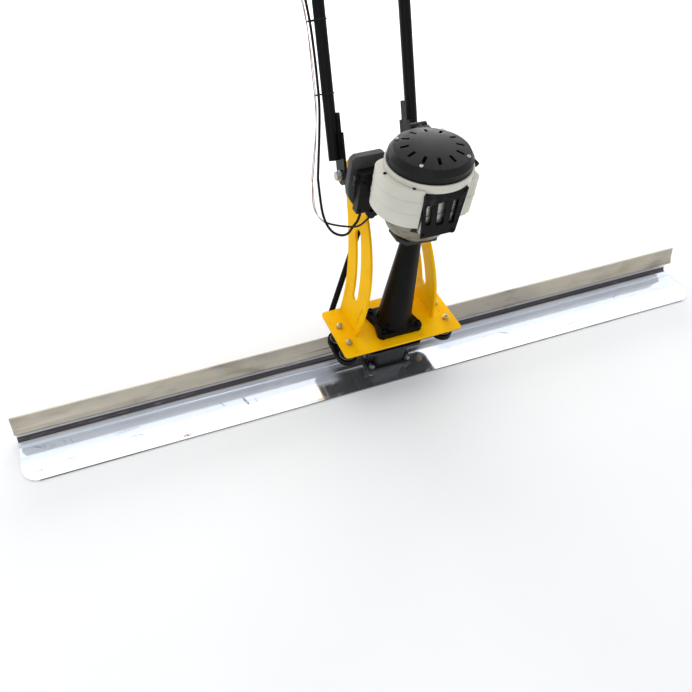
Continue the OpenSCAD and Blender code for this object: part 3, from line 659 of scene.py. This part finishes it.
def flat_plate(outline, holes, thickness, rounding):
    """Mesh of a plate in the XY plane, centred on Z, with rounded edges and holes."""
    curve = bpy.data.curves.new("outline", "CURVE")
    curve.dimensions = "2D"
    curve.fill_mode = "BOTH"
    curve.extrude = thickness / 2 - rounding
    curve.bevel_depth = rounding
    curve.bevel_resolution = 2
    curve.offset = -rounding
    for loop in (outline, *holes):
        spline = curve.splines.new("POLY")
        spline.points.add(len(loop) - 1)
        for point, (x, y) in zip(spline.points, loop):
            point.co = (x, y, 0, 1)
        spline.use_cyclic_u = True
    holder = bpy.data.objects.new("outline", curve)
    bpy.context.scene.collection.objects.link(holder)
    bpy.context.view_layer.update()
    mesh = bpy.data.meshes.new_from_object(holder.evaluated_get(bpy.context.evaluated_depsgraph_get()))
    bpy.data.objects.remove(holder)
    bpy.data.curves.remove(curve)
    bm = bmesh.new()
    bm.from_mesh(mesh)
    bpy.data.meshes.remove(mesh)
    bmesh.ops.remove_doubles(bm, verts=bm.verts, dist=1e-6)
    return bm


def arc_points(cx, cy, r, start, end, steps=8):
    angles = [math.radians(start + (end - start) * i / steps) for i in range(steps + 1)]
    return [(cx + r * math.cos(a), cy + r * math.sin(a)) for a in angles]


def bead(points, radius, ripple=2.3 * MM):
    """Weld bead: a rippled, flattened tube along a line."""
    route = [Vector(p) for p in points]
    fine = []
    for a, b in zip(route, route[1:]):
        steps = max(2, int((b - a).length / (0.6 * MM)))
        fine += [a.lerp(b, i / steps) for i in range(steps)]
    fine.append(route[-1])
    return swept(fine, lambda s: radius * (0.88 + 0.16 * abs(math.sin(math.pi * s / ripple))), 10)


# ---------------------------------------------------------------- board and exciter
def build_board():
    dressed("blade", 0.5 * MM)
    dressed("blade_screws", 0.3 * MM)
    dressed("exciter_housing", 1.6 * MM, 3)
    dressed("exciter_cover", 1.2 * MM, 3)
    dressed("lower_bracket", 0.9 * MM, 3)
    heads = [
        move(cap_screw(13 * MM, 8 * MM, 6.9 * MM, 8 * MM, 38 * MM), at(x, y, 0.090))
        for x in (-0.033, 0.033)
        for y in (-0.009, 0.034)
    ]
    piece("bracket_cap_screws", merged(heads), "frame", "steel", stands_for=("cover_screws",))


MOUNT_AT = [(sx * 0.126, 0.010 + sy * 0.027) for sx in (-1, 1) for sy in (-1, 1)]


def build_mounts():
    """Rubber mounts with bonded steel discs, and the studs, washers and nuts that hold them."""
    low, high, r = 0.096, 0.128, 0.019
    rubber, discs, studs, nuts = [], [], [], []
    for x, y in MOUNT_AT:
        profile = [(0, low + 1.5 * MM), (r - 1 * MM, low + 1.5 * MM), (r - 0.4 * MM, low + 3 * MM)]
        profile += [
            (r - 3.2 * MM + 2.6 * MM * abs(2 * t - 1) ** 2.2, low + 3 * MM + (high - low - 6 * MM) * t)
            for t in [i / 14 for i in range(15)]
        ]
        profile += [(r - 0.4 * MM, high - 3 * MM), (r - 1 * MM, high - 1.5 * MM), (0, high - 1.5 * MM)]
        rubber.append(move(turned(profile), at(x, y, 0)))
        for z in (low, high - 1.6 * MM):
            discs.append(move(washer(2 * r, 1 * MM, 1.6 * MM), at(x, y, z)))
        studs.append(move(threaded_rod(8 * MM, 0.121, PLATE_TOP + 12 * MM), at(x, y, 0)))
        studs.append(move(threaded_rod(8 * MM, 0, 0.031), at(x, y, 0.103, (0, 0, -1))))
        nuts.append(move(washer(17 * MM, 8 * MM, 1.6 * MM), at(x, y, PLATE_TOP)))
        spin = Matrix.Rotation(0.4 + 9 * x + 31 * y, 4, "Z")
        nuts.append(move(hex_nut(13 * MM, 7.6 * MM, 6.5 * MM), at(x, y, PLATE_TOP + 1.6 * MM) @ spin))
        nuts.append(move(washer(17 * MM, 8 * MM, 1.6 * MM), at(x, y, 0.0804)))
        nuts.append(move(hex_nut(13 * MM, 7.6 * MM, 6.5 * MM), at(x, y, 0.0739)))
    piece("mount_rubbers", merged(rubber), "frame", "rubber", stands_for=("isolators",))
    piece("mount_discs", merged(discs), "frame", "steel")
    piece("mount_studs", merged(studs), "frame", "steel", stands_for=("isolator_studs",), sharp=50)
    piece("mount_nuts", merged(nuts), "frame", "zinc_steel", stands_for=("isolator_nuts",))


def build_plate_and_arms():
    dressed("engine_plate", 1.0 * MM, 3)
    dressed("arm_left", 0.7 * MM, 3)
    dressed("arm_right", 0.7 * MM, 3)
    dressed("pivot_tube", 0.8 * MM, 3)
    dressed("stand_bracket", 0.8 * MM, 3)
    dressed("stand_pin", 0.5 * MM)
    beads = []
    for side in (-1, 1):
        for face in (-1, 1):
            x = side * ARM_X + face * (ARM_T / 2 + 0.6 * MM)
            beads.append(bead([(x, 0.001, PLATE_TOP + 0.6 * MM), (x, 0.091, PLATE_TOP + 0.6 * MM)], 1.9 * MM))
        lean = ARM_X - math.tan(ARM_LEAN) * (PIVOT.z - PLATE_TOP)
        for face in (-1, 1):
            ring = [
                (side * (lean + face * 3.6 * MM - math.sin(a) * 17 * MM * math.tan(ARM_LEAN)),
                 PIVOT.y + 17.6 * MM * math.cos(a), PIVOT.z + 17.6 * MM * math.sin(a))
                for a in [2 * math.pi * k / 40 for k in range(41)]
            ]
            beads.append(bead(ring, 1.7 * MM))
    piece("weld_beads", merged(beads), "frame", "yellow_paint", sharp=60)


# ---------------------------------------------------------------- drive housing
CONE_BOLTS = [(x, y) for x in (-0.044, 0.044) for y in (-0.022, 0.046)]


def build_drive_housing():
    """Cast cone on a foot with four bolt ears, a raised ring and parting ribs."""
    half_x, half_y, ear, dip, front_dip = 0.056, 0.046, 0.0125, 0.0065, 0.0010
    outline = []
    corners = [(1, 1, 0), (-1, 1, 90), (-1, -1, 180), (1, -1, 270)]
    for sx, sy, start in corners:
        outline += arc_points(sx * (half_x - ear), sy * (half_y - ear), ear, start - 22, start + 112, 10)
        if start in (0, 180):
            ends = (sx * (half_x - 2.1 * ear), -sx * (half_x - 2.1 * ear))
            outline += [
                (ends[0] + (ends[1] - ends[0]) * t, sy * (half_y - front_dip * math.sin(math.pi * t) ** 0.5))
                for t in (0.1, 0.3, 0.5, 0.7, 0.9)
            ]
        else:
            ends = (sy * (half_y - 2.1 * ear), -sy * (half_y - 2.1 * ear))
            outline += [
                (sx * (half_x - dip * math.sin(math.pi * t) ** 0.5), ends[0] + (ends[1] - ends[0]) * t)
                for t in (0.1, 0.3, 0.5, 0.7, 0.9)
            ]
    foot = move(flat_plate(outline, [], 0.0148, 1.6 * MM), at(0, AXIS_Y, PLATE_TOP + 0.0075))
    z0, z1 = PLATE_TOP + 0.0135, 0.394
    cone = turned(
        [
            (0.0, z0),
            (0.0438, z0),
            (0.0440, z0 + 3.2 * MM),
            (0.0432, z0 + 4.6 * MM),
            (0.0414, z0 + 5.0 * MM),
            (0.0402, z0 + 6.4 * MM),
            (0.0394, z0 + 10.0 * MM),
            (0.0211, z1 - 5.0 * MM),
            (0.0211, z1),
            (0.0, z1),
        ],
        96,
    )
    parts = [foot, move(cone, at(0, AXIS_Y, 0))]
    for side in (-1, 1):
        low = Vector((side * 0.0392, AXIS_Y, z0 + 0.012))
        high = Vector((side * 0.0212, AXIS_Y, z1 - 0.006))
        parts.append(swept([low.lerp(high, i / 12) for i in range(13)], 0.9 * MM, 8))
    for x, y in CONE_BOLTS:
        parts.append(move(washer(19 * MM, 8.6 * MM, 1.0 * MM), at(x, y, PLATE_TOP + 0.0146)))
    body = piece("drive_housing_cast", merged(parts), "frame", "casting", CONE_COAT, ("drive_housing",), 38)
    body.data.validate()
    screws = [
        move(cap_screw(13 * MM, 8 * MM, 6.9 * MM, 8 * MM, 20 * MM), at(x, y, PLATE_TOP + 0.0152))
        for x, y in CONE_BOLTS
    ]
    piece("foot_cap_screws", merged(screws), "frame", "black_steel", stands_for=("housing_bolts",))
    dressed("clutch_housing", 1.0 * MM, 3)


# ---------------------------------------------------------------- engine
def ring_seam(radius, z, wire, count=96):
    return swept([Vector(p) for p in circle(radius, z, count)] + [Vector((radius, 0, z))], wire, 6)


def pan_head(diameter, height, cross=True):
    """Domed screw head with a cross recess, standing on the XY plane."""
    r = diameter / 2
    profile = [(0, height * 0.55), (r * 0.14, height * 0.55), (r * 0.2, height)] if cross else [(0, height)]
    profile += [(r * 0.55, height * 0.97), (r * 0.85, height * 0.75), (r, height * 0.3), (r, 0), (0, 0)]
    return turned(profile[::-1], 24, None)


def build_engine():
    dressed("crankcase", 1.2 * MM, 3)
    dressed("cylinder_cover", 1.4 * MM, 3)
    dressed("fan_shroud", 0.8 * MM, 2)
    dressed("muffler", 2.5 * MM, 4)
    dressed("muffler_guard", 0.9 * MM, 3)
    dressed("carburettor", 1.0 * MM, 2)
    dressed("air_cleaner", 1.5 * MM, 3)
    dressed("fuel_tank", 2.4 * MM, 4)
    dressed("fuel_cap", 0.7 * MM, 2)
    dressed("oil_cap", 0.8 * MM, 2)
    dressed("recoil_housing", 1.6 * MM, 3)
    dressed("choke_lever", 0.5 * MM, 2)
    dressed("primer_bulb", 0.5 * MM, 2)
    dressed("recoil_grip", 1.2 * MM, 3)
    build_case_details()
    build_cover_details()
    build_starter_details()


def build_case_details():
    """Parting seam and short ribs on the crankcase, screws of the clutch housing."""
    parts = [move(ring_seam(0.0699, 0.4525, 0.7 * MM), at(0, AXIS_Y, 0))]
    for turn in range(20, 360, 40):
        a = math.radians(turn)
        out = Vector((math.cos(a), math.sin(a), 0))
        low = Vector((0, AXIS_Y, 0.4335)) + out * 0.0608
        high = Vector((0, AXIS_Y, 0.4495)) + out * 0.0688
        parts.append(swept([low.lerp(high, t / 4) for t in range(5)], 1.3 * MM, 8))
    piece("crankcase_ribs", merged(parts), "frame", "case_metal", sharp=60)
    screws = [
        move(cap_screw(8.5 * MM, 4.5 * MM, 4 * MM), at(x, y, 0.404))
        for x, y in ((0.032, -0.0112), (-0.0325, 0.038), (0.032, 0.038))
    ]
    screws.append(move(pan_head(6 * MM, 2.5 * MM), at(-0.0278, -0.0042, 0.404)))
    piece("clutch_housing_screws", merged(screws), "frame", "black_steel")


def build_cover_details():
    """Screws of the covers, the guard, the muffler's seam, the carburettor and the air cleaner."""
    heads = [
        move(pan_head(8 * MM, 2.6 * MM), at(x, -0.068, z, (0, -1, 0)))
        for x, z in ((-0.0325, 0.4640), (0.0325, 0.4605), (-0.0425, 0.5515), (0.0365, 0.5515))
    ]
    heads += [
        move(pan_head(7 * MM, 2.2 * MM), at(x, y, 0.563))
        for x, y in ((-0.060, -0.047), (-0.089, 0.014), (-0.066, 0.054))
    ]
    heads += [move(pan_head(6 * MM, 2.2 * MM), at(-0.0965, 0.074, z, (0, -1, 0))) for z in (0.437, 0.504)]
    piece("cover_screw_heads", merged(heads), "frame", "black_steel")
    seams = []
    for z in (0.480 + 0.030, 0.480 + 0.058):
        seams.append(swept([Vector((x, y, z)) for x, y in COVER_CURVE], 0.7 * MM, 6))
    piece("cover_seams", merged(seams), "frame", "ivory_plastic", sharp=60)
    x0, x1, y0, y1 = -0.0356, 0.0336, -0.0606, -0.0374
    z = 0.503
    loop = [Vector(p) for p in ((x0, y0, z), (x1, y0, z), (x1, y1, z), (x0, y1, z), (x0, y0, z))]
    piece("muffler_seam", swept(loop, 1.2 * MM, 8), "frame", "muffler_steel", sharp=60)
    knob = turned(
        [(0, 0), (0.0075, 0), (0.0085, 0.001), (0.0085, 0.006), (0.0070, 0.0075), (0, 0.008)],
        48,
        lambda a: 1 + 0.05 * math.cos(10 * a),
    )
    cleaner_face = at(-0.080, 0.112, 0.490, (0, 1, 0))
    ribs = [move(ring_seam(r, 0, 0.8 * MM, 64), cleaner_face) for r in (0.016, 0.022, 0.028)]
    piece("air_cleaner_ribs", merged(ribs), "frame", "grey_plastic", sharp=60)
    piece("air_cleaner_knob", move(knob, cleaner_face), "frame", "black_plastic", sharp=50)
    tank = []
    for z in (0.5090,):
        loop = []
        corners = ((0.075, 0.043, 0), (0.065, 0.043, 90), (0.065, -0.023, 180), (0.075, -0.023, 270))
        for cx, cy, start in corners:
            loop += [Vector((x, y, z)) for x, y in arc_points(cx, cy, 0.0162, start, start + 90, 6)]
        tank.append(swept(loop + [loop[0]], 1.3 * MM, 8))
    piece("tank_seam", merged(tank), "frame", "ivory_plastic", sharp=60)


COVER_STEPS = 24
COVER_FRONT = [(-0.0445, -0.063), (-0.074, -0.054), (-0.099, -0.024), (-0.099, 0.014)]
COVER_BACK = [(-0.099, 0.014), (-0.099, 0.044), (-0.096, 0.066), (-0.0445, 0.064)]


def bezier_point(ends, t):
    a, b, c, d = (Vector(p) for p in ends)
    return a * (1 - t) ** 3 + b * 3 * t * (1 - t) ** 2 + c * 3 * t * t * (1 - t) + d * t**3


COVER_CURVE = [bezier_point(COVER_FRONT, i / COVER_STEPS) for i in range(COVER_STEPS + 1)]
COVER_CURVE += [bezier_point(COVER_BACK, i / COVER_STEPS) for i in range(1, COVER_STEPS + 1)]


def build_starter_details():
    """Screws and an eyelet on the starter housing, and the rope between it and the grip."""
    heads = []
    for turn in (45, 135, 225, 315):
        a = math.radians(turn)
        place = at(0.068 * math.cos(a), AXIS_Y + 0.068 * math.sin(a), 0.6009)
        heads.append(move(pan_head(8 * MM, 2.4 * MM), place))
    piece("starter_screws", merged(heads), "frame", "steel")
    eye = turned(
        [(0.0036, 0), (0.0062, 0), (0.0066, 0.0008), (0.0060, 0.0018), (0.0036, 0.0022), (0.0036, 0)],
        32,
    )
    piece("rope_eyelet", move(eye, at(0.024, 0.0939, 0.586, (0, 1, 0))), "frame", "steel")
    rope = swept([Vector((0.024, 0.070 + 0.003 * i, 0.586)) for i in range(12)], 1.9 * MM, 12)
    line = piece("starter_rope", rope, None, "black_plastic", ROPE)
    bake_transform(line)


# ---------------------------------------------------------------- handle
def handle_frame():
    return Matrix.Translation(PIVOT) @ Matrix.Rotation(-HANDLE_TILT, 4, "X")


def build_handle():
    for node in ("handle_left", "handle_right", "handlebar"):
        dressed(node, 0.6 * MM, 2)
    dressed("pivot_bolt", 0.6 * MM, 2)
    dressed("control_mount", 1.0 * MM, 3)
    dressed("throttle_lever", 1.4 * MM, 3)
    dressed("stop_button", 0.5 * MM, 2)
    dressed("clamp_knob", 1.2 * MM, 3)
    grips = []
    for side in (-1, 1):
        inner, outer = 0.220, 0.350
        profile = [(12.5 * MM, inner), (16.9 * MM, inner)]
        profile += [(16.9 * MM, inner + 3 * MM), (15.6 * MM, inner + 4 * MM)]
        ribs = 22
        for i in range(ribs):
            x = inner + 6 * MM + i * 5.3 * MM
            profile += [(15.2 * MM, x), (16.4 * MM, x + 1.0 * MM)]
            profile += [(16.4 * MM, x + 3.2 * MM), (15.2 * MM, x + 4.2 * MM)]
        profile += [(16.2 * MM, outer - 3 * MM), (15.2 * MM, outer - 0.6 * MM), (13 * MM, outer), (0, outer)]
        turn = Matrix.Rotation(side * math.pi / 2, 4, "Y")
        bar_end = handle_frame() @ Matrix.Translation((0, 0, HANDLE_LENGTH))
        grips.append(move(turned(profile, 40), bar_end @ turn))
    piece("ribbed_grips", merged(grips), "handle", "rubber", stands_for=("grips",), sharp=50)
    build_handle_details()


def build_handle_details():
    """Weld beads at the tube ends and on two seams, cable ties and clamp screws."""
    place = handle_frame()
    beads, ties = [], []
    for side in (-1, 1):
        ring = []
        for a in [2 * math.pi * k / 40 for k in range(41)]:
            drop = 0.0128 * abs(math.sin(a)) ** 0.5 * 0.1
            x, y = side * 0.0945 + 0.0128 * math.cos(a), 0.0128 * math.sin(a)
            ring.append(Vector((x, y, HANDLE_LENGTH - drop - 0.0118)))
        beads.append(move(bead(ring, 1.7 * MM), place))
        for edge in (-1, 1):
            seam = [Vector((side * 0.0835, edge * 0.0085, height)) for height in (0.036, 0.129)]
            beads.append(move(bead(seam, 1.8 * MM), place))
    piece("handle_welds", merged(beads), "handle", "black_aluminium", sharp=60)
    for height in (0.170, 0.310):
        loop = arc_points(-0.0945, 0, 0.0138, -90, 90, 10) + arc_points(-0.1085, 0.0035, 0.0118, 90, 270, 10)
        loop.append(loop[0])
        ties.append(move(swept([Vector((x, y, height)) for x, y in loop], 1.3 * MM, 6, 0.45), place))
    piece("cable_ties", merged(ties), "handle", "black_plastic", sharp=50)
    screws = []
    for x in (-0.205, -0.187):
        clamp_face = place @ at(x, 0.0105, HANDLE_LENGTH - 0.0138, (0, 0.62, -0.78))
        screws.append(move(cap_screw(7 * MM, 3.5 * MM, 3.2 * MM), clamp_face))
    piece("clamp_screws", merged(screws), "handle", "steel")


def build_kickstand():
    dressed("kickstand", 0.6 * MM, 2)


# ---------------------------------------------------------------- control cables
THROTTLE_LOWER = [
    (-0.09, 0.082, 0.4299), (-0.09, 0.082, 0.426), (-0.091, 0.081, 0.42), (-0.093, 0.08, 0.413),
    (-0.096, 0.08, 0.404), (-0.101, 0.082, 0.394), (-0.108, 0.091, 0.368), (-0.118, 0.102, 0.358),
    (-0.129, 0.115, 0.358), (-0.137, 0.126, 0.366), (-0.142, 0.137, 0.378), (-0.144, 0.149, 0.391),
    (-0.144, 0.16, 0.405), (-0.142, 0.175, 0.42), (-0.138, 0.196, 0.437),
]
THROTTLE_UPPER = [
    (-0.136, 0.204, 0.444), (-0.128, 0.226, 0.475), (-0.119, 0.252, 0.52), (-0.113, 0.276, 0.568),
    (-0.112, 0.3, 0.616), (-0.112, 0.326, 0.664), (-0.114, 0.352, 0.712), (-0.122, 0.378, 0.764),
    (-0.138, 0.402, 0.816), (-0.16, 0.422, 0.868), (-0.178, 0.435, 0.91), (-0.184, 0.4434, 0.9426),
    (-0.184, 0.4527, 0.9601),
]
STOP_LOWER = [
    (-0.076, 0.046, 0.4799), (-0.076, 0.046, 0.468), (-0.077, 0.0462, 0.457), (-0.08, 0.0475, 0.447),
    (-0.084, 0.051, 0.436), (-0.089, 0.056, 0.424), (-0.094, 0.064, 0.409), (-0.102, 0.074, 0.398),
    (-0.12, 0.091, 0.391), (-0.14, 0.109, 0.388), (-0.154, 0.123, 0.39), (-0.161, 0.136, 0.397),
    (-0.164, 0.15, 0.41), (-0.16, 0.17, 0.424), (-0.152, 0.194, 0.437),
]
STOP_UPPER = [
    (-0.15, 0.202, 0.443), (-0.139, 0.226, 0.472), (-0.127, 0.252, 0.518), (-0.119, 0.28, 0.566),
    (-0.1175, 0.306, 0.614), (-0.1175, 0.332, 0.662), (-0.119, 0.358, 0.71), (-0.128, 0.384, 0.764),
    (-0.146, 0.41, 0.82), (-0.168, 0.434, 0.872), (-0.185, 0.447, 0.908), (-0.193, 0.455, 0.9303),
    (-0.193, 0.464, 0.9472),
]


def crossing_cable(name, route, radius, slot, material, stands_for, sides=14):
    """A cable tube swept along a route from the engine up past the handle's pivot to the handle; it rides on
    no body.
    """
    obj = piece(name, swept(route, radius, sides), None, slot, material, stands_for, 60)
    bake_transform(obj)
    return obj


def build_cables():
    throttle = smoothed(THROTTLE_LOWER + THROTTLE_UPPER)
    crossing_cable(
        "throttle_cable", throttle, 2.8 * MM, "cable_sleeve", None,
        ("throttle_cable_lower", "throttle_cable_upper"),
    )
    split = 0.166
    lead = smoothed(STOP_LOWER + STOP_UPPER)
    along, black = 0.0, [lead[0]]
    for a, b in zip(lead, lead[1:]):
        along += (b - a).length
        if along > split:
            break
        black.append(b)
    crossing_cable(
        "stop_lead_sleeve", black, 2.1 * MM, "cable_sleeve", None,
        ("stop_lead_lower", "stop_lead_upper"), 12,
    )
    rest = lead[len(black) - 3 :]
    for name, material, phase in (("stop_wire_red", RED_WIRE, 0.0), ("stop_wire_grey", GREY_WIRE, math.pi)):
        wire = []
        for i, p in enumerate(rest):
            grow = min(1.0, i / 6)
            a = phase + i * 0.16
            around = Vector((math.cos(a), math.sin(a) * 0.8, math.sin(a) * -0.4))
            wire.append(p + around * 1.5 * MM * (0.4 + 0.6 * grow))
        crossing_cable(name, wire, 0.9 * MM, "cable_sleeve", material, (), 8)


# ---------------------------------------------------------------- inner pieces keep their CAD shape
def finish_inner_nodes():
    for node, obj in frame["nodes"].items():
        if obj.hide_render:
            continue
        obj.data.materials.clear()
        obj.data.materials.append(MATERIALS[SLOT_OF[node]])


add_camera()
add_studio()
build_board()
build_mounts()
build_plate_and_arms()
build_drive_housing()
build_engine()
build_handle()
build_kickstand()
build_cables()
finish_inner_nodes()
